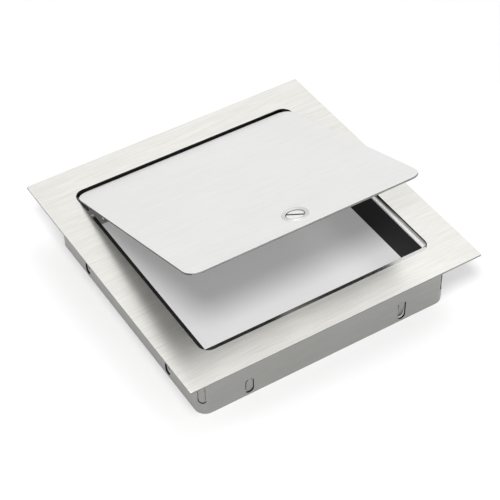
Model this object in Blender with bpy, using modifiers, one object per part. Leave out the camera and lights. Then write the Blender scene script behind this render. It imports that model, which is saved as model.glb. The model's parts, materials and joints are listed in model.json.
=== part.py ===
"""Flush deck hatch: a square stainless frame with a hinged lid and a quarter-turn cam lock.

The frame stands on its skirt at z = 0. The hinge is at the back (+Y), the lock at the front (-Y),
and the lid is stored standing open by REST_OPEN. Lengths are metres.
"""
from math import asin, atan2, cos, pi, radians, sin, tan

import bmesh
import bpy
from mathutils import Vector

MM = 0.001

# Frame
FLANGE = 250 * MM            # outer size of the square flange
FLANGE_RADIUS = 0.8 * MM
SHEET = 1.5 * MM             # all sheet metal
FRAME_HEIGHT = 52.5 * MM     # skirt bottom to flange top
SKIRT = 217.5 * MM           # outer size of the skirt
SKIRT_RADIUS = 9 * MM        # its upright corners
OPENING = 197.4 * MM         # clear opening in the flange
OPENING_RADIUS = 8.6 * MM
TOUCH = 0.3 * MM             # daylight left between pieces that touch
BORE = 0.1 * MM              # running clearance round pins
LAP = 0.05 * MM              # step between two faces of one piece that would otherwise be level

# Seat rails that carry the closed lid
SEAT_DROP = 2.4 * MM         # flange top down to the seat
SEAT_LEG = 11 * MM           # upright leg welded to the skirt
SEAT_SHOW_SIDE = 3.9 * MM    # seat showing inside the opening, left and right
SEAT_SHOW_FRONT = 4.9 * MM
SEAT_END = 72 * MM           # the side rails stop here, short of the hinge
BEND = 1.6 * MM              # outer radius of a sheet bend
BEND_INNER = 0.2 * MM

# Lid
LID_WIDTH = 196.2 * MM
LID_LENGTH = 189.6 * MM
LID_RADIUS = 10.5 * MM
LID_BACK = 94.9 * MM         # y of the closed lid's back edge
LID_DROP = 0.6 * MM          # closed lid top below the flange top
REST_OPEN = 19.5             # degrees, as stored

# Hinge
PIVOT_Y = 93.96 * MM
PIVOT_DROP = 3.6 * MM        # below the flange top
PIN_RADIUS = 1.2 * MM
BOSS_RADIUS = 1.8 * MM       # bosses, washers, lug eyes and screw heads, all clear of the flange
BOSS_INNER_X = 98.5 * MM
LUG_OUTER_X = 96.8 * MM
LUG_FRONT_Y = 73.5 * MM
LUG_DEPTH = 4.2 * MM         # the lug's lower edge below the pivot
LUG_SLOPE = 5 * MM           # run of the slope from that edge up to the eye
LUG_NOSE = (3 * MM, 1.6 * MM)    # chamfer at the lug's front
LUG_FOOT = (12 * MM, 14 * MM)    # width and length of the foot under the lid
SCREW_HEAD_HEIGHT = 1.2 * MM
SCREW_SLOT = (0.6 * MM, 0.4 * MM)    # width, depth

# Lock, measured from the lid's top face
LOCK_FROM_EDGE = 20.9 * MM   # lock centre to the lid's free edge
HEAD_RADIUS = 10.2 * MM
HEAD_TOP = 0.7 * MM
HEAD_EDGE = 0.5 * MM         # width of the bevel round the head
HEAD_LAND = 0.9 * MM         # where the dish starts, in from the head's edge
DISH_END = -0.25 * MM        # the dish meets the plug here
BARREL_RADIUS = 8 * MM
BARREL_END = -6.2 * MM
PLUG_RADIUS = 6.75 * MM
PLUG_FACE = -0.35 * MM
PLUG_STEP = -3 * MM          # where the plug narrows to its shank
SHANK_RADIUS = 5 * MM
SLOT_WIDTH = 1.8 * MM
SLOT_DEPTH = 2.1 * MM
SLOT_TURN = -45              # degrees, slot against the lid's width
NUT_ACROSS = 20 * MM
NUT_HEIGHT = 2.8 * MM
NUT_WASHER = 0.8 * MM
NUT_WASHER_RADIUS = 10.8 * MM
CAM_SHEET = 1.5 * MM
CAM_REACH = 26 * MM
CAM_WIDTH = 12 * MM
CAM_HUB = 7.5 * MM           # half the hub's width, and its reach behind the centre
CAM_NECK = (6 * MM, 12 * MM)     # where the hub narrows to the arm
CAM_CRANK = (14.2 * MM, 17.4 * MM)   # where the cam steps up towards the lid
CAM_TIP_TOP = -3.8 * MM
SQUARE = 7 * MM              # plug's square drive for the cam
DRIVE_SHORT = 0.2 * MM       # the drive ends this far inside the cam
CAM_SCREW_RADIUS = 2 * MM
CAM_SCREW_GRIP = 3.6 * MM    # thread inside the plug
CAM_WASHER_RADIUS = 4.8 * MM
CAM_WASHER = 0.5 * MM
CAM_SCREW_HEAD = (4.2 * MM, 1.4 * MM)    # radius, height
CAM_SCREW_SLOT = (1 * MM, 0.8 * MM)      # width, depth

# Lanced anchor tangs in the skirt
TANG_WIDTH = 5.4 * MM
TANG_WIDTH_CORNER = 4.6 * MM
TANG_LENGTH = 15.6 * MM
TANG_SLIT = 0.9 * MM
TANG_ROOT = 1.2 * MM         # how far a tang runs into the wall above its window
TANG_TOP = 18.6 * MM         # attached edge above the skirt's bottom, on the walls
TANG_TOP_CORNER = 27.4 * MM  # and on the corners
TANG_SHEET = SHEET - 0.2 * MM
TANG_LEAN_CORNER = -1         # degrees; below 0 a tang leans inwards
WALL_TANGS = (               # front, right, back, left: place along the wall, lean
    ((66.9 * MM, -8),),
    ((61.6 * MM, -2),),
    ((-67.8 * MM, -2), (67.8 * MM, -2)),
    ((-61.6 * MM, -8), (61.6 * MM, -8)))
OVAL_X = -67.8 * MM          # the front wall's other tang is an oval on a narrow neck
OVAL_LENGTH = 12.8 * MM
OVAL_LOW = 3 * MM            # its lower end above the skirt's bottom
OVAL_NECK = 2.6 * MM
OVAL_LEAN = -3

CHAMFER = 0.3 * MM
FULL_ROUND = 0.98            # corner radius of a round end, as a share of its half width
ARC_STEPS = 6
ROUND_STEPS = 40
WELD = 0.001 * MM            # points closer than this become one
PIERCE = 9 * MM              # length of a cutter that passes through one sheet
THROUGH = 40 * MM            # length of a cutter that passes through a whole piece
AXES_SIZE = 20 * MM          # how large an empty is drawn

TOP = FRAME_HEIGHT
WALL_OUT = SKIRT / 2
WALL_IN = WALL_OUT - SHEET
PIVOT = Vector((0, PIVOT_Y, TOP - PIVOT_DROP))
LID_TOP = TOP - LID_DROP
LOCK_Y = LID_BACK - LID_LENGTH + LOCK_FROM_EDGE
FACE_X = (pi / 2, 0, pi / 2)    # outline axes to Y and Z, thickness along X
FACE_Y = (pi / 2, 0, 0)         # outline axes to X and Z, thickness along Y


def clear_scene():
    for item in list(bpy.data.objects):
        bpy.data.objects.remove(item, do_unlink=True)


def collection(name, parent=None):
    made = bpy.data.collections.new(name)
    (parent or bpy.context.scene.collection).children.link(made)
    return made


def material(name, colour, roughness, metallic):
    made = bpy.data.materials.new(name)
    made.use_nodes = True
    shader = made.node_tree.nodes["Principled BSDF"]
    shader.inputs["Base Color"].default_value = (*colour, 1)
    shader.inputs["Roughness"].default_value = roughness
    shader.inputs["Metallic"].default_value = metallic
    return made


def rounded(corners, radii, steps=ARC_STEPS):
    """Outline points with each corner turned into an arc of its radius; 0 keeps it sharp."""
    if not isinstance(radii, (list, tuple)):
        radii = [radii] * len(corners)
    points = []
    for index, radius in enumerate(radii):
        here = Vector(corners[index])
        if radius == 0:
            points.append(tuple(here))
            continue
        back = (Vector(corners[index - 1]) - here).normalized()
        ahead = (Vector(corners[(index + 1) % len(corners)]) - here).normalized()
        half = back.angle(ahead) / 2
        centre = here + (back + ahead).normalized() * radius / sin(half)
        first = here + back * radius / tan(half) - centre
        last = here + ahead * radius / tan(half) - centre
        start = atan2(first.y, first.x)
        sweep = (atan2(last.y, last.x) - start + pi) % (2 * pi) - pi
        for step in range(steps + 1):
            angle = start + sweep * step / steps
            points.append((centre.x + radius * cos(angle), centre.y + radius * sin(angle)))
    return points


def rectangle(x0, y0, x1, y1):
    return [(x0, y0), (x1, y0), (x1, y1), (x0, y1)]


def square(size, radius):
    return rounded(rectangle(-size / 2, -size / 2, size / 2, size / 2), radius)


def circle(radius, centre=(0, 0), sides=ROUND_STEPS):
    angles = [2 * pi * side / sides for side in range(sides)]
    return [(centre[0] + radius * cos(a), centre[1] + radius * sin(a)) for a in angles]


def place(item, group, colour, parent):
    group.objects.link(item)
    if colour:
        item.data.materials.append(colour)
    item.parent = parent
    return item


def slab(name, loops, thickness, group, colour=None, at=(0, 0, 0), turn=(0, 0, 0), parent=None):
    """A flat outline, with any holes, as a closed sheet centred on its own plane."""
    curve = bpy.data.curves.new(name, "CURVE")
    curve.dimensions = "2D"
    curve.fill_mode = "BOTH"
    curve.extrude = thickness / 2
    for loop in loops:
        spline = curve.splines.new("POLY")
        spline.points.add(len(loop) - 1)
        for point, place_at in zip(spline.points, loop):
            point.co = (*place_at, 0, 1)
        spline.use_cyclic_u = True
    drawn = bpy.data.objects.new(name + "_outline", curve)
    bpy.context.scene.collection.objects.link(drawn)
    graph = bpy.context.evaluated_depsgraph_get()
    mesh = bpy.data.meshes.new_from_object(drawn.evaluated_get(graph))
    bpy.data.objects.remove(drawn)
    bpy.data.curves.remove(curve)
    body = bmesh.new()
    body.from_mesh(mesh)
    bmesh.ops.remove_doubles(body, verts=body.verts, dist=WELD)
    bmesh.ops.recalc_face_normals(body, faces=body.faces)
    body.to_mesh(mesh)
    body.free()
    item = bpy.data.objects.new(name, mesh)
    item.location = at
    item.rotation_euler = turn
    return place(item, group, colour, parent)


def turned(name, profile, group, colour=None, at=(0, 0, 0), turn=(0, 0, 0), parent=None, closed=False):
    """A turned piece from (radius, height) points that run down its outer side."""
    mesh = bpy.data.meshes.new(name)
    edges = [(i, i + 1) for i in range(len(profile) - 1)]
    if closed:
        edges.append((len(profile) - 1, 0))
    mesh.from_pydata([(radius, 0, height) for radius, height in profile], edges, [])
    item = bpy.data.objects.new(name, mesh)
    item.location = at
    item.rotation_euler = turn
    screw = item.modifiers.new("turn", "SCREW")
    screw.steps = ROUND_STEPS
    screw.render_steps = ROUND_STEPS
    screw.use_merge_vertices = True
    screw.merge_threshold = WELD
    screw.use_smooth_shade = False
    return place(item, group, colour, parent)


def ring(name, outer, inner, low, high, group, colour, **where):
    profile = [(outer, high), (outer, low), (inner, low), (inner, high)]
    return turned(name, profile, group, colour, closed=True, **where)


def boolean(item, other, kind="DIFFERENCE"):
    """Cut, join or trim with one object or with a whole collection."""
    step = item.modifiers.new(kind.lower(), "BOOLEAN")
    step.operation = kind
    step.solver = "EXACT"
    if isinstance(other, bpy.types.Collection):
        step.operand_type = "COLLECTION"
        step.collection = other
    else:
        step.object = other


def rod(name, radius, length, group, **where):
    """A plain round cutter, centred on its origin."""
    return turned(name, [(0, length / 2), (radius, length / 2), (radius, -length / 2),
                         (0, -length / 2)], group, **where)


def block(name, size, group, at=(0, 0, 0), turn=(0, 0, 0), parent=None):
    outline = rectangle(-size[0] / 2, -size[1] / 2, size[0] / 2, size[1] / 2)
    return slab(name, [outline], size[2], group, None, at, turn, parent)


def tang_outline(width, length, above):
    """A tongue that hangs from y = 0 by its length, round at the bottom."""
    half = width / 2
    corners = rectangle(-half, -length, half, above)
    return rounded(corners, [half * FULL_ROUND, half * FULL_ROUND, 0, 0])


def build_tang(index, spot, heading, width, lean, windows, blanks):
    """The window cut round one tang, and the tongue itself leaning out (or in, below zero)."""
    hole = tang_outline(width + 2 * TANG_SLIT, TANG_LENGTH + TANG_SLIT, 0)
    slab(f"tang_window_{index}", [hole], PIERCE, windows, at=spot, turn=(pi / 2, 0, heading))
    slab(f"tang_blank_{index}", [tang_outline(width, TANG_LENGTH, TANG_ROOT)], TANG_SHEET, blanks,
         at=spot, turn=(pi / 2 - radians(lean), 0, heading))


def oval(width, low, high):
    half = width / 2
    return rounded(rectangle(-half, low, half, high), half * FULL_ROUND)


def build_oval_tang(middle, windows, blanks):
    """An oval slit all round, but for a neck at the top that the oval leans from."""
    spot = (OVAL_X, -middle, OVAL_LOW + OVAL_LENGTH)
    hole = oval(TANG_WIDTH + 2 * TANG_SLIT, -OVAL_LENGTH - TANG_SLIT, TANG_SLIT)
    slab("oval_window", [hole], PIERCE, windows, at=spot, turn=FACE_Y)
    leaning = (pi / 2 - radians(OVAL_LEAN), 0, 0)
    slab("oval_blank", [oval(TANG_WIDTH, -OVAL_LENGTH, 0)], TANG_SHEET, blanks, at=spot, turn=leaning)
    neck = rectangle(-OVAL_NECK / 2, -TANG_ROOT, OVAL_NECK / 2, TANG_SLIT + TANG_ROOT)
    slab("oval_neck", [neck], TANG_SHEET - LAP, blanks, at=spot, turn=leaning)


def build_skirt(parts, cutters, colour):
    height = FRAME_HEIGHT - SHEET - LAP
    skirt = slab("skirt_box", [square(SKIRT, SKIRT_RADIUS), square(SKIRT - 2 * SHEET, SKIRT_RADIUS - SHEET)],
                 height, parts, colour, at=(0, 0, height / 2))
    windows = collection("skirt_windows", cutters)
    blanks = collection("tang_blanks", cutters)
    middle = WALL_OUT - SHEET / 2
    corner = middle - (SKIRT_RADIUS - SHEET / 2) * (1 - cos(pi / 4))
    for side, tangs in enumerate(WALL_TANGS):
        heading = side * pi / 2
        out = Vector((sin(heading), -cos(heading), 0))
        along = Vector((cos(heading), sin(heading), 0))
        for index, (offset, lean) in enumerate(tangs):
            spot = out * middle + along * offset + Vector((0, 0, TANG_TOP))
            build_tang(f"{side}_{index}", spot, heading, TANG_WIDTH, lean, windows, blanks)
        spot = (out + along) * corner + Vector((0, 0, TANG_TOP_CORNER))
        build_tang(f"{side}_corner", spot, heading + pi / 4, TANG_WIDTH_CORNER, TANG_LEAN_CORNER,
                   windows, blanks)
    build_oval_tang(middle, windows, blanks)
    for hand in (-1, 1):
        rod(f"pin_hole_{hand}", PIN_RADIUS + BORE, PIERCE, windows,
            at=(hand * middle, PIVOT.y, PIVOT.z), turn=(0, pi / 2, 0))
    boolean(skirt, windows)
    boolean(skirt, blanks, "UNION")


def seat_section(inner, outer):
    """An angle: the seat from inner to outer, with its leg down the skirt wall at outer."""
    top = TOP - SEAT_DROP
    corners = [(inner, top - SHEET), (outer - SHEET, top - SHEET), (outer - SHEET, top - SEAT_LEG),
               (outer, top - SEAT_LEG), (outer, top), (inner, top)]
    return rounded(corners, [0, BEND_INNER, 0, 0, BEND, 0])


def build_seats(parts, colour):
    outer = WALL_IN - TOUCH
    front_inner = OPENING / 2 - SEAT_SHOW_FRONT
    side_inner = OPENING / 2 - SEAT_SHOW_SIDE
    width = 2 * (outer - SKIRT_RADIUS + SHEET)
    slab("seat_rail_front", [seat_section(front_inner, outer)], width, parts, colour,
         turn=(pi / 2, 0, -pi / 2))
    front_end = -front_inner + TOUCH
    length = SEAT_END - front_end
    middle = (SEAT_END + front_end) / 2
    slab("seat_rail_right", [seat_section(side_inner, outer)], length, parts, colour,
         at=(0, middle, 0), turn=(pi / 2, 0, 0))
    slab("seat_rail_left", [seat_section(side_inner, outer)], length, parts, colour,
         at=(0, middle, 0), turn=(pi / 2, 0, pi))


def build_flange(parts, cutters, colour):
    """The flange, grooved underneath above the edge of the skirt."""
    flange = slab("flange_plate", [square(FLANGE, FLANGE_RADIUS), square(OPENING, OPENING_RADIUS)], SHEET,
                  parts, colour, at=(0, 0, TOP - SHEET / 2))
    outer = square(SKIRT + 2 * TOUCH, SKIRT_RADIUS + TOUCH)
    inner = square(SKIRT - 2 * SHEET - 2 * TOUCH, SKIRT_RADIUS - SHEET - TOUCH)
    groove = slab("flange_groove", [outer, inner], 2 * (TOUCH - LAP), cutters, at=(0, 0, TOP - SHEET))
    boolean(flange, groove)


def build_frame(parts, cutters, steel):
    build_flange(parts, cutters, steel["flange"])
    build_skirt(parts, cutters, steel["skirt"])
    build_seats(parts, steel["seat"])
    for name, hand in (("left", -1), ("right", 1)):
        ring(f"pivot_boss_{name}", BOSS_RADIUS, PIN_RADIUS + BORE, BOSS_INNER_X, WALL_IN - TOUCH, parts,
             steel["seat"], at=PIVOT, turn=(0, hand * pi / 2, 0))


def build_lug(name, hand, parts, cutters, colour, hinge):
    """Bent bracket under the lid: a foot welded to the lid and an upright ear round the pin."""
    under = LID_TOP - SHEET - TOUCH - PIVOT.z
    front = LUG_FRONT_Y - PIVOT.y
    start = asin(under / BOSS_RADIUS)
    arc = []
    for step in range(2 * ARC_STEPS + 1):
        angle = start - (start + pi / 2) * step / (2 * ARC_STEPS)
        arc.append((BOSS_RADIUS * cos(angle), BOSS_RADIUS * sin(angle)))
    nose, drop = LUG_NOSE
    outline = [(front, under), *arc, (-LUG_SLOPE, -LUG_DEPTH), (front + nose, -LUG_DEPTH),
               (front, drop - LUG_DEPTH)]
    middle = hand * (LUG_OUTER_X - SHEET / 2)
    ear = slab(f"hinge_lug_{name}", [outline], SHEET, parts, colour, at=(middle, 0, 0), turn=FACE_X,
               parent=hinge)
    width, length = LUG_FOOT
    foot = block(f"lug_foot_{name}", (width, length, SHEET), cutters, parent=hinge,
                 at=(middle - hand * width / 2, front + length / 2 + LAP, under - SHEET / 2 - LAP))
    hole = rod(f"lug_hole_{name}", PIN_RADIUS + BORE, PIERCE, cutters, parent=hinge,
               at=(middle, 0, 0), turn=(0, pi / 2, 0))
    boolean(ear, foot, "UNION")
    boolean(ear, hole)


def build_pivot_screw(name, hand, parts, cutters, colour, hinge):
    """Shoulder screw: head outside the skirt, shank through the boss and into the lug."""
    seat = WALL_OUT + TOUCH
    tip = LUG_OUTER_X - SHEET - TOUCH
    head = seat + SCREW_HEAD_HEIGHT
    profile = [(0, head), (BOSS_RADIUS - CHAMFER, head), (BOSS_RADIUS, head - CHAMFER), (BOSS_RADIUS, seat),
               (PIN_RADIUS, seat), (PIN_RADIUS, tip + CHAMFER), (PIN_RADIUS - CHAMFER, tip), (0, tip)]
    screw = turned(f"pivot_screw_{name}", profile, parts, colour, turn=(0, hand * pi / 2, 0), parent=hinge)
    width, depth = SCREW_SLOT
    slot = block(f"pivot_slot_{name}", (2 * depth, THROUGH, width), cutters, parent=hinge,
                 at=(hand * head, 0, 0))
    boolean(screw, slot)


def build_lid(parts, cutters, steel, hinge):
    half = LID_WIDTH / 2
    back = LID_BACK - PIVOT.y
    plate = rounded(rectangle(-half, back - LID_LENGTH, half, back), LID_RADIUS)
    hole = circle(BARREL_RADIUS + BORE, (0, LOCK_Y - PIVOT.y))
    slab("lid_plate", [plate, hole], SHEET, parts, steel["lid"],
         at=(0, 0, LID_TOP - SHEET / 2 - PIVOT.z), parent=hinge)
    for name, hand in (("left", -1), ("right", 1)):
        build_lug(name, hand, parts, cutters, steel["seat"], hinge)
        build_pivot_screw(name, hand, parts, cutters, steel["fastener"], hinge)
        ring(f"friction_washer_{name}", BOSS_RADIUS, PIN_RADIUS + BORE, LUG_OUTER_X + TOUCH,
             BOSS_INNER_X - TOUCH, parts, steel["washer"], turn=(0, hand * pi / 2, 0), parent=hinge)


def build_lock_body(parts, steel, lock):
    """Dished housing through the lid, with its washer and nut below."""
    bore = PLUG_RADIUS + BORE
    neck = SHANK_RADIUS + BORE
    step = PLUG_STEP - TOUCH
    profile = [(bore, DISH_END), (HEAD_RADIUS - HEAD_LAND, HEAD_TOP), (HEAD_RADIUS - HEAD_EDGE, HEAD_TOP),
               (HEAD_RADIUS, TOUCH + LAP), (HEAD_RADIUS, TOUCH), (BARREL_RADIUS, TOUCH),
               (BARREL_RADIUS, BARREL_END), (neck, BARREL_END), (neck, step), (bore, step)]
    turned("lock_housing", profile, parts, steel["lock"], parent=lock, closed=True)
    washer_top = -SHEET - TOUCH
    ring("lock_washer", NUT_WASHER_RADIUS, BARREL_RADIUS + BORE, washer_top - NUT_WASHER, washer_top,
         parts, steel["fastener"], parent=lock)
    nut_top = washer_top - NUT_WASHER - TOUCH
    hexagon = circle(NUT_ACROSS / 2 / cos(pi / 6), sides=6)
    slab("lock_nut", [hexagon, circle(BARREL_RADIUS + BORE)], NUT_HEIGHT, parts, steel["fastener"],
         at=(0, 0, nut_top - NUT_HEIGHT / 2), parent=lock)


def build_cam(parts, cutters, colour, rotor, top):
    """Cranked cam: a hub under the barrel that steps up so its tip runs just under the seat."""
    tip_top = CAM_TIP_TOP
    run_out, run_in = CAM_CRANK
    lag = CAM_SHEET * (run_in - run_out) / (tip_top - top) / 2
    side = [(-CAM_HUB, top), (run_out, top), (run_in, tip_top), (CAM_REACH, tip_top),
            (CAM_REACH, tip_top - CAM_SHEET), (run_in + lag, tip_top - CAM_SHEET),
            (run_out + lag, top - CAM_SHEET), (-CAM_HUB, top - CAM_SHEET)]
    cam = slab("lock_cam", [side], 2 * CAM_WIDTH, parts, colour, turn=FACE_Y, parent=rotor)
    hub_end, arm_start = CAM_NECK
    half = CAM_WIDTH / 2 - SHEET
    plan = [(-CAM_HUB, -CAM_HUB), (hub_end, -CAM_HUB), (arm_start, -half), (CAM_REACH, -half),
            (CAM_REACH, half), (arm_start, half), (hub_end, CAM_HUB), (-CAM_HUB, CAM_HUB)]
    hub_round = CAM_HUB * FULL_ROUND
    turns = [hub_round, *[2 * SHEET] * 6, hub_round]
    trim = slab("cam_plan", [rounded(plan, turns)], THROUGH, cutters, parent=rotor)
    drive = SQUARE + 2 * BORE
    hole = block("cam_drive", (drive, drive, THROUGH), cutters, parent=rotor)
    boolean(cam, trim, "INTERSECT")
    boolean(cam, hole)


def build_plug(parts, cutters, colour, rotor, end):
    profile = [(0, PLUG_FACE), (PLUG_RADIUS - CHAMFER, PLUG_FACE), (PLUG_RADIUS, PLUG_FACE - CHAMFER),
               (PLUG_RADIUS, PLUG_STEP), (SHANK_RADIUS, PLUG_STEP), (SHANK_RADIUS, BARREL_END),
               (0, BARREL_END)]
    plug = turned("lock_plug", profile, parts, colour, parent=rotor)
    drive = block("plug_drive", (SQUARE, SQUARE, 2 * (BARREL_END - end)), cutters,
                  at=(0, 0, BARREL_END), parent=rotor)
    slot = block("plug_slot", (THROUGH, SLOT_WIDTH, 2 * SLOT_DEPTH), cutters,
                 at=(0, 0, PLUG_FACE), turn=(0, 0, radians(SLOT_TURN)), parent=rotor)
    thread = rod("plug_thread", CAM_SCREW_RADIUS + BORE, 2 * (CAM_SCREW_GRIP + TOUCH), cutters,
                 at=(0, 0, end), parent=rotor)
    boolean(plug, drive, "UNION")
    boolean(plug, slot)
    boolean(plug, thread)


def build_cam_screw(parts, cutters, colour, rotor, seat, tip):
    radius, height = CAM_SCREW_HEAD
    low = seat - height
    profile = [(0, tip), (CAM_SCREW_RADIUS - CHAMFER, tip), (CAM_SCREW_RADIUS, tip - CHAMFER),
               (CAM_SCREW_RADIUS, seat), (radius, seat), (radius, low + CHAMFER),
               (radius - CHAMFER, low), (0, low)]
    screw = turned("cam_screw", profile, parts, colour, parent=rotor)
    width, depth = CAM_SCREW_SLOT
    slot = block("cam_screw_slot", (THROUGH, width, 2 * depth), cutters, at=(0, 0, low), parent=rotor)
    boolean(screw, slot)


def build_rotor(parts, cutters, steel, rotor):
    """Everything that turns with the plug."""
    cam_top = BARREL_END - TOUCH
    cam_bottom = cam_top - CAM_SHEET
    end = cam_bottom + DRIVE_SHORT
    washer_top = cam_bottom - TOUCH
    build_plug(parts, cutters, steel["plug"], rotor, end)
    build_cam(parts, cutters, steel["lock"], rotor, cam_top)
    ring("cam_washer", CAM_WASHER_RADIUS, CAM_SCREW_RADIUS + BORE, washer_top - CAM_WASHER, washer_top,
         parts, steel["fastener"], parent=rotor)
    build_cam_screw(parts, cutters, steel["fastener"], rotor, washer_top - CAM_WASHER - TOUCH,
                    end + CAM_SCREW_GRIP)


def empty(name, at, group, parent=None):
    made = bpy.data.objects.new(name, None)
    made.location = at
    made.parent = parent
    made.empty_display_size = AXES_SIZE
    group.objects.link(made)
    return made


def build():
    clear_scene()
    parts = collection("deck_hatch")
    cutters = collection("cutters")
    steel = {
        "flange": material("brushed_steel", (0.78, 0.78, 0.75), 0.36, 1.0),
        "skirt": material("mill_steel", (0.42, 0.42, 0.41), 0.42, 1.0),
        "seat": material("bare_steel", (0.86, 0.86, 0.85), 0.25, 1.0),
        "lid": material("fine_steel", (0.84, 0.84, 0.83), 0.30, 1.0),
        "lock": material("plated_lock", (0.78, 0.78, 0.77), 0.28, 1.0),
        "plug": material("lock_plug_steel", (0.74, 0.74, 0.74), 0.25, 1.0),
        "fastener": material("fastener_steel", (0.62, 0.62, 0.62), 0.35, 1.0),
        "washer": material("washer_nylon", (0.05, 0.05, 0.05), 0.55, 0.0),
    }
    build_frame(parts, cutters, steel)
    hinge = empty("lid_hinge", PIVOT, parts)
    build_lid(parts, cutters, steel, hinge)
    lock = empty("lock_centre", (0, LOCK_Y - PIVOT.y, LID_TOP - PIVOT.z), parts, hinge)
    build_lock_body(parts, steel, lock)
    rotor = empty("lock_rotor", (0, 0, 0), parts, lock)
    build_rotor(parts, cutters, steel, rotor)
    hinge.rotation_euler.x = -radians(REST_OPEN)
    for item in cutters.all_objects:
        item.hide_render = True
        item.display_type = "WIRE"


build()
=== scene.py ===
"""Looks of the flush deck hatch: steel finishes, softened sheet edges, welds, threads and a studio.

Everything is in metres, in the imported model's own frame: +Z up, hinge at the back (+Y), lock at the
front (-Y). Places come from the CAD nodes' own boxes and from the joints.
"""
import json
from math import cos, copysign, pi, radians, sin, tan

import bmesh
import bpy
from mathutils import Matrix, Vector


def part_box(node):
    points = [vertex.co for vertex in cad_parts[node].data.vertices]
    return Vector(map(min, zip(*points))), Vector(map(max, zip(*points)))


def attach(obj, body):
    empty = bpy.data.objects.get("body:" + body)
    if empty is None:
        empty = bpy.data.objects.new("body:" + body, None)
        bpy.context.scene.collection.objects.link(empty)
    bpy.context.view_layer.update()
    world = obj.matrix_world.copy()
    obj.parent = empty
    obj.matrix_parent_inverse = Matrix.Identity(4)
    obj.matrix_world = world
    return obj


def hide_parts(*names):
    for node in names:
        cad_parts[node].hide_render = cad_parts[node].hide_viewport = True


MM = 0.001
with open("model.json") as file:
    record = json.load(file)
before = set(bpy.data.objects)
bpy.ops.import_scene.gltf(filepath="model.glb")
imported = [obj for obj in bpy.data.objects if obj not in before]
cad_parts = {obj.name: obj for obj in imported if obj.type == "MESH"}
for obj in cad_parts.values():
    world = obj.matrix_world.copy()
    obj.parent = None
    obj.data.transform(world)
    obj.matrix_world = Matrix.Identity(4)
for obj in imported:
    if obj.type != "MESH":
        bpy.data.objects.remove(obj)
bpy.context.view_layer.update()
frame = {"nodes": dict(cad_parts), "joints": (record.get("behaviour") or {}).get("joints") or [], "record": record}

BODY_OF = {}
SLOT_OF = {}
for body, nodes in frame["record"]["behaviour"]["bodies"].items():
    for node in nodes:
        BODY_OF[node] = body
for row in frame["record"]["subparts"]:
    SLOT_OF[row["node"]] = row["material_slot"]
JOINT = {joint["name"]: joint for joint in frame["joints"]}

UP = Vector((0, 0, 1))
ACROSS = Vector((1, 0, 0))
LID_UP = -Vector(JOINT["lock_turn"]["axis"])
LOCK_CENTRE = Vector(JOINT["lock_turn"]["pos_m"])
LID_TURN = Matrix((ACROSS, LID_UP.cross(ACROSS), LID_UP)).transposed()    # the stored lid's own axes
LOCK = Matrix.Translation(LOCK_CENTRE) @ LID_TURN.to_4x4()                # the lock's frame in the lid's top


# ---------------------------------------------------------------- materials

GRAIN_DETAIL = 4
SOFT_DETAIL = 2
NOISE_ROUGHNESS = 0.6
FINE_REPEATS = 2600          # brush marks per metre across the grain
WIDE_REPEATS = FINE_REPEATS / 6
FINE_ALONG = 60              # and along it
WIDE_ALONG = 25
CLOUD_REPEATS = 9
CLOUD_TONE = 0.97
WIDE_SHARE = 0.35            # share of the wide bands in the grain
GRAIN_STOPS = (0.34, 0.62)
GLOSS_SPREAD = 0.03          # how far the roughness moves with the grain
TURNING_REPEATS = 3000       # lathe marks per metre
TURNING_DEPTH = 0.003 * MM
PATCH_REPEATS = 40
PATCH_SHARE = 0.4
SHADE_EDGE = 0.7 * MM         # half the width of the painted shade's soft edge
# darkness of the painted shade
SHADE_TONE = 0.05
SHADE_FROM = 34.5 * MM         # the back wall has painted shade from here up

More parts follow.
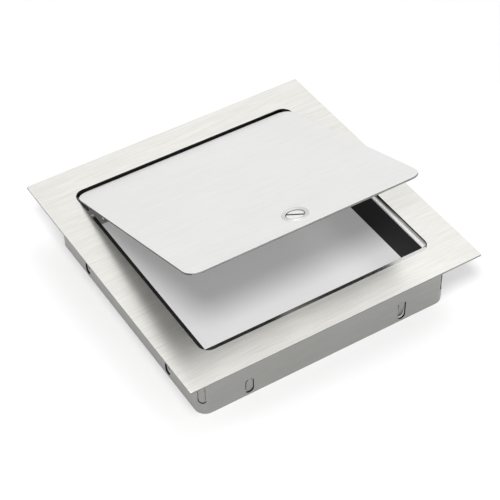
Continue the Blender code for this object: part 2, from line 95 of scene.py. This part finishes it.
class Nodes:
    """Short hand for building one material's node tree."""

    def __init__(self, name):
        self.material = bpy.data.materials.new(name)
        self.material.use_nodes = True
        self.tree = self.material.node_tree
        self.shader = self.tree.nodes["Principled BSDF"]

    def add(self, kind, **settings):
        node = self.tree.nodes.new(kind)
        for key, value in settings.items():
            setattr(node, key, value)
        return node

    def link(self, source, target):
        self.tree.links.new(source, target)

    def noise(self, stretch, detail=3):
        """Noise with stretch = (x, y, z) repeats per metre, in the object's own frame."""
        where = self.add("ShaderNodeTexCoord")
        mapping = self.add("ShaderNodeMapping")
        mapping.inputs["Scale"].default_value = stretch
        noise = self.add("ShaderNodeTexNoise")
        noise.inputs["Scale"].default_value = 1.0
        noise.inputs["Detail"].default_value = detail
        noise.inputs["Roughness"].default_value = NOISE_ROUGHNESS
        self.link(where.outputs["Object"], mapping.inputs["Vector"])
        self.link(mapping.outputs["Vector"], noise.inputs["Vector"])
        return noise.outputs["Fac"]

    def rings(self, centre, axis, repeats):
        """Noise that changes only with the distance from an axis, as turning marks do."""
        where = self.add("ShaderNodeTexCoord")
        turn = axis.rotation_difference(UP).to_euler()
        shift = self.add("ShaderNodeVectorMath", operation="SUBTRACT")
        shift.inputs[1].default_value = centre
        mapping = self.add("ShaderNodeMapping", vector_type="POINT")
        mapping.inputs["Rotation"].default_value = turn
        mapping.inputs["Scale"].default_value = (1, 1, 0)
        length = self.add("ShaderNodeVectorMath", operation="LENGTH")
        noise = self.add("ShaderNodeTexNoise", noise_dimensions="1D")
        noise.inputs["Scale"].default_value = repeats
        noise.inputs["Detail"].default_value = 3
        self.link(where.outputs["Object"], shift.inputs[0])
        self.link(shift.outputs[0], mapping.inputs["Vector"])
        self.link(mapping.outputs["Vector"], length.inputs[0])
        self.link(length.outputs["Value"], noise.inputs["W"])
        return noise.outputs["Fac"]

    def spread(self, value, low, high, start=0.3, end=0.7):
        """value from start to end turned into low to high."""
        ranged = self.add("ShaderNodeMapRange")
        ranged.inputs["From Min"].default_value = start
        ranged.inputs["From Max"].default_value = end
        ranged.inputs["To Min"].default_value = low
        ranged.inputs["To Max"].default_value = high
        self.link(value, ranged.inputs["Value"])
        return ranged.outputs["Result"]

    def ramp(self, value, *stops):
        """value through a colour ramp of (position, (r, g, b)) stops."""
        ramp = self.add("ShaderNodeValToRGB")
        while len(ramp.color_ramp.elements) < len(stops):
            ramp.color_ramp.elements.new(0.5)
        for element, (position, colour) in zip(ramp.color_ramp.elements, stops):
            element.position = position
            element.color = (*colour, 1)
        self.link(value, ramp.inputs["Fac"])
        return ramp.outputs["Color"]

    def mix(self, factor, first, second, blend="MIX"):
        """Two colour sockets mixed."""
        mixer = self.add("ShaderNodeMix", data_type="RGBA", blend_type=blend)
        mixer.inputs[0].default_value = factor
        self.link(first, mixer.inputs[6])
        self.link(second, mixer.inputs[7])
        return mixer.outputs[2]

    def painted_shade_above(self, height):
        """Painted shade: dark above a height of the part, white below it."""
        where = self.add("ShaderNodeTexCoord")
        split = self.add("ShaderNodeSeparateXYZ")
        self.link(where.outputs["Object"], split.inputs["Vector"])
        below = self.spread(split.outputs["Z"], 1, 0, height - SHADE_EDGE, height + SHADE_EDGE)
        return self.ramp(below, (0.0, grey(SHADE_TONE)), (1.0, grey(1.0)))

    def bump(self, height, distance):
        bump = self.add("ShaderNodeBump")
        bump.inputs["Distance"].default_value = distance
        self.link(height, bump.inputs["Height"])
        self.link(bump.outputs["Normal"], self.shader.inputs["Normal"])

    def stretch_gloss(self, amount, direction):
        """Draws highlights out along a direction, square to the grain."""
        way = self.add("ShaderNodeCombineXYZ")
        for socket, value in zip(way.inputs, direction):
            socket.default_value = value
        self.shader.inputs["Anisotropic"].default_value = amount
        self.link(way.outputs["Vector"], self.shader.inputs["Tangent"])

    def colour(self, socket):
        self.link(socket, self.shader.inputs["Base Color"])

    def roughness(self, socket):
        self.link(socket, self.shader.inputs["Roughness"])

    def metal(self, amount):
        self.shader.inputs["Metallic"].default_value = amount


def grey(value, warmth=0.01):
    """A grey whose blue falls short by the warmth."""
    return (value, value * (1 - warmth / 6), value * (1 - warmth))


def brushed(name, tone, contrast, rough, gloss, direction, along=0, warmth=0.01, depth=0.004 * MM,
            metallic=1.0, shaded_above=None):
    """Brushed stainless: fine grain along one axis, with wider bands and faint cloudy patches, and painted shade
    above a height when asked.
    """
    steel = Nodes(name)
    fine_repeats = [FINE_REPEATS] * 3
    wide_repeats = [WIDE_REPEATS] * 3
    fine_repeats[along] = FINE_ALONG
    wide_repeats[along] = WIDE_ALONG
    fine = steel.noise(fine_repeats, GRAIN_DETAIL)
    wide = steel.noise(wide_repeats)
    cloud = steel.noise([CLOUD_REPEATS] * 3, SOFT_DETAIL)
    grain = steel.mix(WIDE_SHARE, fine, wide)
    dark, light = GRAIN_STOPS
    tint = steel.ramp(grain, (dark, grey(tone - contrast, warmth)), (light, grey(tone, warmth)))
    patch = steel.ramp(cloud, (0.3, grey(CLOUD_TONE)), (0.7, (1, 1, 1)))
    shade = steel.mix(1.0, tint, patch, "MULTIPLY")
    # painted shade over the part above a height
    if shaded_above:
        shade = steel.mix(1.0, shade, steel.painted_shade_above(shaded_above), "MULTIPLY")
    steel.colour(shade)
    steel.roughness(steel.spread(grain, rough - GLOSS_SPREAD, rough + GLOSS_SPREAD))
    steel.bump(fine, depth)
    steel.stretch_gloss(gloss, direction)
    steel.metal(metallic)
    return steel.material


def turned_steel(name, tone, contrast, rough, metallic):
    """Steel faced in a lathe: faint rings round the lock's axis."""
    steel = Nodes(name)
    marks = steel.rings(LOCK_CENTRE, LID_UP, TURNING_REPEATS)
    steel.colour(steel.ramp(marks, (0.35, grey(tone - contrast)), (0.65, grey(tone))))
    steel.roughness(steel.spread(marks, rough - 0.04, rough + 0.04))
    steel.bump(marks, TURNING_DEPTH)
    steel.metal(metallic)
    return steel.material


def speckled(name, tone, contrast, rough, repeats, depth, metallic, shine=0.5):
    """An even, slightly grainy surface: cut edges, near-black painted shade, nylon."""
    surface = Nodes(name)
    grain = surface.noise([repeats] * 3, GRAIN_DETAIL)
    cloud = surface.noise([PATCH_REPEATS] * 3, SOFT_DETAIL)
    both = surface.mix(PATCH_SHARE, grain, cloud)
    surface.colour(surface.ramp(both, (0.36, grey(tone - contrast)), (0.64, grey(tone + contrast))))
    surface.roughness(surface.spread(both, rough - 0.05, rough + 0.05))
    surface.bump(grain, depth)
    surface.metal(metallic)
    surface.shader.inputs["Specular IOR Level"].default_value = shine
    return surface.material


DEEPWAYS = (0, 1, 0)
UPRIGHT = (0, 0, 1)
FINISHES = {
    "brushed_steel": brushed("flange_steel", tone=0.75, contrast=0.13, rough=0.36, gloss=0.85,
                             direction=DEEPWAYS, warmth=0.055, metallic=0.8),
    "mill_steel": brushed("skirt_steel", tone=0.37, contrast=0.05, rough=0.42, gloss=0.5,
                          direction=UPRIGHT, warmth=0.03),
    # skirt steel with painted shade over the back wall's upper part
    "back_wall_shaded": brushed("back_wall_steel_shaded", tone=0.37, contrast=0.05, rough=0.42, gloss=0.5,
                         direction=UPRIGHT, warmth=0.03, shaded_above=SHADE_FROM),
    "bare_steel": brushed("seat_steel", tone=0.93, contrast=0.05, rough=0.2, gloss=0.0,
                          direction=DEEPWAYS, along=1),
    # lighter copy of the seat steel: painted light on the right seat strip
    "lit_seat_steel": brushed("seat_steel_painted_light", tone=0.95, contrast=0.03, rough=0.25, gloss=0.0,
                           direction=DEEPWAYS, along=1, depth=0.001 * MM, metallic=0.68),
    "fine_steel": brushed("lid_steel", tone=0.87, contrast=0.06, rough=0.34, gloss=0.85,
                          direction=DEEPWAYS, warmth=0.004),
    "plated_lock": turned_steel("lock_steel", tone=0.62, contrast=0.05, rough=0.6, metallic=0.7),
    "lock_plug_steel": turned_steel("plug_steel", tone=0.84, contrast=0.06, rough=0.42, metallic=0.85),
    "fastener_steel": speckled("fastener_finish", tone=0.48, contrast=0.05, rough=0.42, repeats=900,
                               depth=0.004 * MM, metallic=1.0),
    "washer_nylon": speckled("nylon", tone=0.05, contrast=0.01, rough=0.55, repeats=500,
                             depth=0.01 * MM, metallic=0.0),
    "cut_edge": speckled("cut_edge_steel", tone=0.28, contrast=0.05, rough=0.48, repeats=1500,
                         depth=0.01 * MM, metallic=1.0),
    # darker copy of the cut edge: painted shade on the lid's left edge face
    "lid_edge_shade": speckled("lid_edge_painted_shade", tone=0.13, contrast=0.04, rough=0.5, repeats=1500,
                         depth=0.01 * MM, metallic=1.0),
    # near-black painted shade where only shade and dark reflections fall: inner walls, lid underside, flange's
    # inner edges, low seat faces, hidden welds
    "coating": speckled("black_painted_shade", tone=0.008, contrast=0.005, rough=0.6, repeats=700,
                        depth=0.03 * MM, metallic=0.0, shine=0.2),
    # near-black painted shade inside the tang slits, the lock's slot and the ring round the plug
    "slot_shade": speckled("slot_painted_shade", tone=0.03, contrast=0.01, rough=0.6, repeats=1200,
                          depth=0.01 * MM, metallic=1.0),
}


# ---------------------------------------------------------------- pieces

SKIRT_RADIUS = 9 * MM
SHEET = 1.5 * MM
RIM = 0.2 * MM           # faces this near the skirt's bottom or top are its rims
SEAT_DEPTH = 0.9 * SHEET     # faces this near the seat's top are bare; those below get near-black painted shade
PLUG_LIP = 0.5 * MM      # the plug's faces below this get painted shade
FACING = 0.7             # a face looks a way when its normal is at least this far along it
SEAT_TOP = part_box("seat_rail_front")[1].z


def wall_way(point):
    """Outward direction of the skirt wall, or of the rounded corner, that a point lies on."""
    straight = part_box("skirt_box")[1].x - SKIRT_RADIUS
    over = [copysign(max(abs(value) - straight, 0), value) for value in point.xy]
    return Vector((*over, 0)).normalized()


def flange_zone(face):
    if abs(face.normal.z) > FACING:
        return "brushed_steel"
    # the opening's inner edge faces get near-black painted shade
    return "cut_edge" if face.normal.dot(face.calc_center_median()) > 0 else "coating"


def skirt_zone(face):
    way = wall_way(face.calc_center_median())
    facing = face.normal.dot(way)
    if abs(facing) < FACING:
        low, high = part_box("skirt_box")
        height = face.calc_center_median().z
        # side faces of the tang windows get near-black painted shade; the rims stay cut edge
        return "cut_edge" if min(height - low.z, high.z - height) < RIM else "slot_shade"
    if facing > 0:
        return "mill_steel"
    # inner walls get near-black painted shade; the back wall gets painted shade on its upper part only
    return "back_wall_shaded" if way.y > FACING else "coating"


def seat_zone(face, bare="bare_steel"):
    # faces below the seat's top get near-black painted shade
    return bare if face.calc_center_median().z > SEAT_TOP - SEAT_DEPTH else "coating"


def right_seat_lit_zone(face):
    # the right seat strip gets the lighter copy: painted light
    return seat_zone(face, "lit_seat_steel")


def lid_zone(face):
    facing = face.normal.dot(LID_UP)
    if facing > FACING:
        return "fine_steel"
    # the underside gets near-black painted shade
    if facing < -FACING:
        return "coating"
    # the left edge face gets painted shade, the other edges bare cut edge
    return "lid_edge_shade" if face.normal.x < -FACING else "cut_edge"


def plug_zone(face):
    height = (LOCK.inverted() @ face.calc_center_median()).z
    # the plug's slot and sides get near-black painted shade
    return "lock_plug_steel" if face.normal.dot(LID_UP) > FACING and height > -PLUG_LIP else "slot_shade"


ZONES = {"flange_plate": flange_zone, "skirt_box": skirt_zone, "lid_plate": lid_zone,
         "seat_rail_front": seat_zone, "seat_rail_left": seat_zone, "seat_rail_right": right_seat_lit_zone,
         "lock_plug": plug_zone}
SOFT_EDGE = 0.2 * MM
FINE_EDGE = 0.08 * MM
WELD_POINTS = 0.002 * MM     # points closer than this become one
FLAT = radians(0.5)          # faces that turn less than this become one
BEVEL_FROM = radians(30)
SHARP_FROM = radians(35)
FINE_NODES = ("lock_plug", "cam_washer", "cam_screw", "pivot_screw_left", "pivot_screw_right")
REMADE = ("lock_housing", "lock_nut")


def refine(node):
    """A piece with the node's own shape, its faces joined up and its sharp edges softened."""
    mesh = frame["nodes"][node].data.copy()
    mesh.materials.clear()
    body = bmesh.new()
    body.from_mesh(mesh)
    bmesh.ops.remove_doubles(body, verts=body.verts, dist=WELD_POINTS)
    bmesh.ops.dissolve_limit(body, angle_limit=FLAT, verts=body.verts, edges=body.edges)
    zone = ZONES.get(node)
    used = []
    for face in body.faces:
        finish_name = zone(face) if zone else SLOT_OF[node]
        if finish_name not in used:
            used.append(finish_name)
        face.material_index = used.index(finish_name)
    body.to_mesh(mesh)
    body.free()
    piece = bpy.data.objects.new(node + "_finished", mesh)
    bpy.context.scene.collection.objects.link(piece)
    bevel = piece.modifiers.new("soft_edges", "BEVEL")
    bevel.width = FINE_EDGE if node in FINE_NODES else SOFT_EDGE
    bevel.segments = 2
    bevel.limit_method = "ANGLE"
    bevel.angle_limit = BEVEL_FROM
    smooth(mesh)
    settle(piece, node, used)


def smooth(mesh):
    mesh.shade_smooth()
    mesh.set_sharp_from_angle(angle=SHARP_FROM)


def settle(piece, node, finishes, replaces=True):
    """Finishes and body of a piece that stands for a node or belongs with it."""
    for name in finishes:
        piece.data.materials.append(FINISHES[name])
    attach(piece, BODY_OF[node])
    if replaces:
        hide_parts(node)


def loft(name, rings, closed=True):
    """A mesh through rings of the same number of points, closed end to end or capped."""
    count = len(rings[0])
    points = [point for ring in rings for point in ring]
    faces = []
    for row in range(len(rings) if closed else len(rings) - 1):
        here = row * count
        ahead = (row + 1) % len(rings) * count
        for step in range(count):
            side = (step + 1) % count
            faces.append((here + step, here + side, ahead + side, ahead + step))
    if not closed:
        faces.append(tuple(range(count)))
        faces.append(tuple(range(len(points) - 1, len(points) - 1 - count, -1)))
    mesh = bpy.data.meshes.new(name)
    mesh.from_pydata(points, [], faces)
    body = bmesh.new()
    body.from_mesh(mesh)
    bmesh.ops.recalc_face_normals(body, faces=body.faces)
    body.to_mesh(mesh)
    body.free()
    smooth(mesh)
    piece = bpy.data.objects.new(name, mesh)
    bpy.context.scene.collection.objects.link(piece)
    return piece


# ---------------------------------------------------------------- lock

LOCK_SIDES = 96
HEAD_RADIUS = 10.2 * MM
HEAD_TOP = 0.7 * MM
HEAD_LAND = 0.9 * MM
HEAD_EDGE = 0.5 * MM
DISH_END = -0.25 * MM    # the dish's middle, below the lid's top
DISH_STEPS = 8
DISH_CURVE = 1.25        # above 1 the dish is flattest in its middle
BREAK = 0.03 * MM        # slight fall of the head's land to its bevel
BEVEL_FOOT = 0.15 * MM
HEAD_LIFT = 0.02 * MM    # daylight under the head
PLUG_BORE = 6.85 * MM
BORE_MOUTH = (0.12 * MM, 0.3 * MM)       # width and depth of the bevel at the bore's mouth
GAP_SHADE = 0.3 * MM      # width of the ring of painted shade round the plug
SHANK_BORE = 5.1 * MM
BORE_STEP = -3.3 * MM
BARREL_RADIUS = 8 * MM
BARREL_START = -0.6 * MM
BARREL_END = -6.2 * MM
THREAD_PITCH = 0.9 * MM
THREAD_DEPTH = 0.35 * MM
THREAD_ROWS = 50
NUT_ACROSS = 20 * MM
NUT_BORE = 8.1 * MM
NUT_TOP = -2.9 * MM
NUT_HEIGHT = 2.8 * MM
NUT_CHAMFER = 0.96 * NUT_ACROSS / 2      # radius where the chamfer starts
NUT_SLOPE = radians(30)


def lock_ring(radius_at, height_at):
    """A ring of points round the lock's axis; both values may change with the angle."""
    points = []
    for side in range(LOCK_SIDES):
        angle = 2 * pi * side / LOCK_SIDES
        radius = radius_at(angle)
        points.append(LOCK @ Vector((radius * cos(angle), radius * sin(angle), height_at(angle))))
    return points


def plain_ring(radius, height):
    return lock_ring(lambda angle: radius, lambda angle: height)


def thread_ring(height):
    def radius_at(angle):
        turn = (height / THREAD_PITCH + angle / (2 * pi)) % 1
        return BARREL_RADIUS - THREAD_DEPTH * abs(2 * turn - 1)
    return lock_ring(radius_at, lambda angle: height)


def add_housing():
    """Dished head on the lid, with a threaded barrel below."""
    shade_edge = PLUG_BORE + GAP_SHADE
    land = HEAD_RADIUS - HEAD_LAND
    mouth_width, mouth_depth = BORE_MOUTH
    outline = [(PLUG_BORE, DISH_END - mouth_depth), (PLUG_BORE + mouth_width, DISH_END)]
    for step in range(DISH_STEPS):
        share = step / DISH_STEPS
        outline.append((shade_edge + (land - shade_edge) * share,
                        DISH_END + (HEAD_TOP - DISH_END) * share ** DISH_CURVE))
    outline += [(land, HEAD_TOP), (HEAD_RADIUS - HEAD_EDGE, HEAD_TOP - BREAK),
                (HEAD_RADIUS - BEVEL_FOOT, HEAD_TOP / 2), (HEAD_RADIUS, HEAD_LIFT),
                (BARREL_RADIUS, HEAD_LIFT), (BARREL_RADIUS, BARREL_START)]
    rings = [plain_ring(*point) for point in outline]
    for row in range(1, THREAD_ROWS):
        rings.append(thread_ring(BARREL_START + (BARREL_END - BARREL_START) * row / THREAD_ROWS))
    rings += [plain_ring(BARREL_RADIUS - THREAD_DEPTH, BARREL_END), plain_ring(SHANK_BORE, BARREL_END),
              plain_ring(SHANK_BORE, BORE_STEP), plain_ring(PLUG_BORE, BORE_STEP)]
    housing = loft("lock_housing_finished", rings)
    to_lock = LOCK.inverted()
    # faces inside the ring get near-black painted shade
    for face in housing.data.polygons:
        if (to_lock @ face.center).xy.length < shade_edge:
            face.material_index = 1
    settle(housing, "lock_housing", ["plated_lock", "slot_shade"])


def add_nut():
    """Hexagon nut with its corners chamfered above and below."""
    def flat_radius(angle):
        return NUT_ACROSS / 2 / cos((angle + pi / 6) % (pi / 3) - pi / 6)

    def drop(angle):
        return (flat_radius(angle) - NUT_CHAMFER) * tan(NUT_SLOPE)

    low = NUT_TOP - NUT_HEIGHT
    rings = [plain_ring(NUT_BORE, NUT_TOP), plain_ring(NUT_CHAMFER, NUT_TOP),
             lock_ring(flat_radius, lambda angle: NUT_TOP - drop(angle)),
             lock_ring(flat_radius, lambda angle: low + drop(angle)),
             plain_ring(NUT_CHAMFER, low), plain_ring(NUT_BORE, low)]
    nut = loft("lock_nut_finished", rings)
    settle(nut, "lock_nut", ["fastener_steel"])


# ---------------------------------------------------------------- welds

BEAD = 1.1 * MM
RIPPLE = 1.6 * MM
RIPPLE_STEPS = 4
RIPPLE_DEPTH = 0.2       # share of the radius
BEAD_SIDES = 10
END_ROUND = 6            # how fast a bead swells from its ends
END_SIZE = 0.25          # share of the radius at its very ends
STITCH = 22 * MM
STITCH_SPOTS = (-66 * MM, 0, 66 * MM)
BACK = 2                 # the wall that carries no seat
SEAT_BEAD_OFF = 0.4 * MM
LUG_BEAD = 0.8 * MM
LUG_STITCH = 4.8 * MM
LUG_SPOTS = (-15.5 * MM, -9.5 * MM)      # along the lid, from the hinge
LUG_BEAD_UP = 1.2 * MM   # above the hinge's axis


def weld(name, start, end, node, finish_name, radius=BEAD):
    """A short ripple weld along a line, half sunk in the corner it fills."""
    run = end - start
    steps = max(int(run.length / RIPPLE), 2) * RIPPLE_STEPS
    side = run.orthogonal().normalized()
    other = run.normalized().cross(side)
    rings = []
    for step in range(steps + 1):
        share = step / steps
        swell = 1 - RIPPLE_DEPTH * (step % RIPPLE_STEPS) / RIPPLE_STEPS
        taper = min(1, sin(pi * share) * END_ROUND + END_SIZE)
        ring = []
        for turn in range(BEAD_SIDES):
            angle = 2 * pi * turn / BEAD_SIDES
            way = side * cos(angle) + other * sin(angle)
            ring.append(start + run * share + way * radius * swell * taper)
        rings.append(ring)
    bead = loft(name, rings, closed=False)
    settle(bead, node, [finish_name], replaces=False)


def add_frame_welds():
    """Stitches under the flange on all four walls, and under the seat on three."""
    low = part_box("skirt_box")[0]
    flange_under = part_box("flange_plate")[0].z
    leg_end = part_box("seat_rail_front")[0].z
    seat_y = low.y + SHEET + SEAT_BEAD_OFF
    for wall in range(4):
        turn = Matrix.Rotation(wall * pi / 2, 3, "Z")
        for index, spot in enumerate(STITCH_SPOTS):
            places = [(f"flange_weld_{wall}_{index}", low.y, flange_under, "mill_steel")]
            if wall != BACK:
                # the seat welds sit in the hatch's shade and get near-black painted shade
                places.append((f"seat_weld_{wall}_{index}", seat_y, leg_end, "coating"))
            for name, depth, height, finish_name in places:
                ends = [turn @ Vector((spot + hand * STITCH / 2, depth, height)) for hand in (-1, 1)]
                weld(name, *ends, "skirt_box", finish_name)


def add_lug_welds():
    half = LID_TURN @ Vector((0, LUG_STITCH / 2, 0))
    for hand, side in ((-1, "left"), (1, "right")):
        foot_low, foot_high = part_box("hinge_lug_" + side)
        for index, along in enumerate(LUG_SPOTS):
            spot = Vector(JOINT["lid_hinge"]["pos_m"]) + LID_TURN @ Vector((0, along, LUG_BEAD_UP))
            spot.x = foot_high.x if hand < 0 else foot_low.x
            # the lug welds get near-black painted shade in place of their glints
            weld(f"lug_weld_{side}_{index}", spot - half, spot + half, "hinge_lug_" + side, "coating",
                 LUG_BEAD)


for node in frame["nodes"]:
    if node not in REMADE:
        refine(node)
add_housing()
add_nut()
add_frame_welds()
add_lug_welds()


# ---------------------------------------------------------------- studio

AIM = Vector((-16.5 * MM, -28.5 * MM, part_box("flange_plate")[1].z))
DISTANCE = 1.1618
AZIMUTH = radians(-31.72)
ELEVATION = radians(44.16)
ROLL = radians(-0.725)
FOCAL = 112.65           # on a sensor 36 wide, both in millimetres
SENSOR = 36
FLOOR_SIZE = 6
FLOOR_TONE = 0.60
FLOOR_GLOW = 0.26        # keeps the shadow inside the hatch a flat grey
FLOOR_ROUGHNESS = 0.9


def add_camera():
    data = bpy.data.cameras.new("camera")
    data.lens = FOCAL
    data.sensor_width = SENSOR
    camera = bpy.data.objects.new("camera", data)
    away = Vector((sin(AZIMUTH) * cos(ELEVATION), -cos(AZIMUTH) * cos(ELEVATION), sin(ELEVATION)))
    turn = away.to_track_quat("Z", "Y").to_matrix().to_4x4()
    camera.matrix_world = Matrix.Translation(AIM + away * DISTANCE) @ turn @ Matrix.Rotation(ROLL, 4, "Z")
    bpy.context.scene.collection.objects.link(camera)
    bpy.context.scene.camera = camera


def add_floor():
    bpy.ops.mesh.primitive_plane_add(size=FLOOR_SIZE)
    floor = bpy.context.object
    floor.name = "floor"
    paper = Nodes("floor_paper")
    paper.shader.inputs["Base Color"].default_value = (FLOOR_TONE, FLOOR_TONE, FLOOR_TONE, 1)
    paper.shader.inputs["Roughness"].default_value = FLOOR_ROUGHNESS
    paper.shader.inputs["Specular IOR Level"].default_value = 0.0
    paper.shader.inputs["Emission Color"].default_value = (1, 1, 1, 1)
    paper.shader.inputs["Emission Strength"].default_value = FLOOR_GLOW
    floor.data.materials.append(paper.material)


SKY_BY_HEIGHT = ((0.30, 0.96), (0.60, 0.62))      # height of the direction, brightness
SKY_BY_DEPTH = ((0.0, 0.60), (0.75, 1.0))         # front to back, share of that brightness
SKY_STRENGTH = 1.1
CAP_WAY = Vector((0.36, 0.15, 0.917)).normalized()
CAP = ((0.93, 0.0), (0.985, 1.0))                 # cosine of the angle from its middle, brightness
CAP_STRENGTH = 2.45
KEY_SIZE = 0.42
KEY_POWER = 24
KEY_PLACE = Vector((-0.60, -0.80, 1.55))


def add_world():
    """A white studio, brighter behind, with a soft bright patch above and to the right."""
    world = bpy.data.worlds.new("studio")
    bpy.context.scene.world = world
    world.use_nodes = True
    tree = world.node_tree
    sky = tree.nodes["Background"]
    cap = tree.nodes.new("ShaderNodeBackground")
    total = tree.nodes.new("ShaderNodeAddShader")
    where = tree.nodes.new("ShaderNodeTexCoord")
    split = tree.nodes.new("ShaderNodeSeparateXYZ")
    tree.links.new(where.outputs["Generated"], split.inputs["Vector"])

    def graded(value, stops):
        ramp = tree.nodes.new("ShaderNodeValToRGB")
        for element, (position, bright) in zip(ramp.color_ramp.elements, stops):
            element.position = position
            element.color = (bright, bright, bright, 1)
        tree.links.new(value, ramp.inputs["Fac"])
        return ramp.outputs["Color"]

    depth = tree.nodes.new("ShaderNodeMapRange")
    depth.inputs["From Min"].default_value = -1
    tree.links.new(split.outputs["Y"], depth.inputs["Value"])
    both = tree.nodes.new("ShaderNodeMix")
    both.data_type = "RGBA"
    both.blend_type = "MULTIPLY"
    both.inputs[0].default_value = 1
    tree.links.new(graded(split.outputs["Z"], SKY_BY_HEIGHT), both.inputs[6])
    tree.links.new(graded(depth.outputs["Result"], SKY_BY_DEPTH), both.inputs[7])
    near_cap = tree.nodes.new("ShaderNodeVectorMath")
    near_cap.operation = "DOT_PRODUCT"
    near_cap.inputs[1].default_value = CAP_WAY
    tree.links.new(where.outputs["Generated"], near_cap.inputs[0])
    tree.links.new(both.outputs[2], sky.inputs["Color"])
    tree.links.new(graded(near_cap.outputs["Value"], CAP), cap.inputs["Color"])
    sky.inputs["Strength"].default_value = SKY_STRENGTH
    cap.inputs["Strength"].default_value = CAP_STRENGTH
    tree.links.new(sky.outputs[0], total.inputs[0])
    tree.links.new(cap.outputs[0], total.inputs[1])
    tree.links.new(total.outputs[0], tree.nodes["World Output"].inputs["Surface"])


def add_key():
    """A round soft light above and behind the camera's left shoulder."""
    data = bpy.data.lights.new("key", "AREA")
    data.shape = "DISK"
    data.size = KEY_SIZE
    data.energy = KEY_POWER
    key = bpy.data.objects.new("key", data)
    key.location = KEY_PLACE
    key.rotation_euler = (KEY_PLACE - AIM).to_track_quat("Z", "Y").to_euler()
    bpy.context.scene.collection.objects.link(key)


add_camera()
add_floor()
add_world()
add_key()
bpy.context.scene.view_settings.view_transform = "Standard"
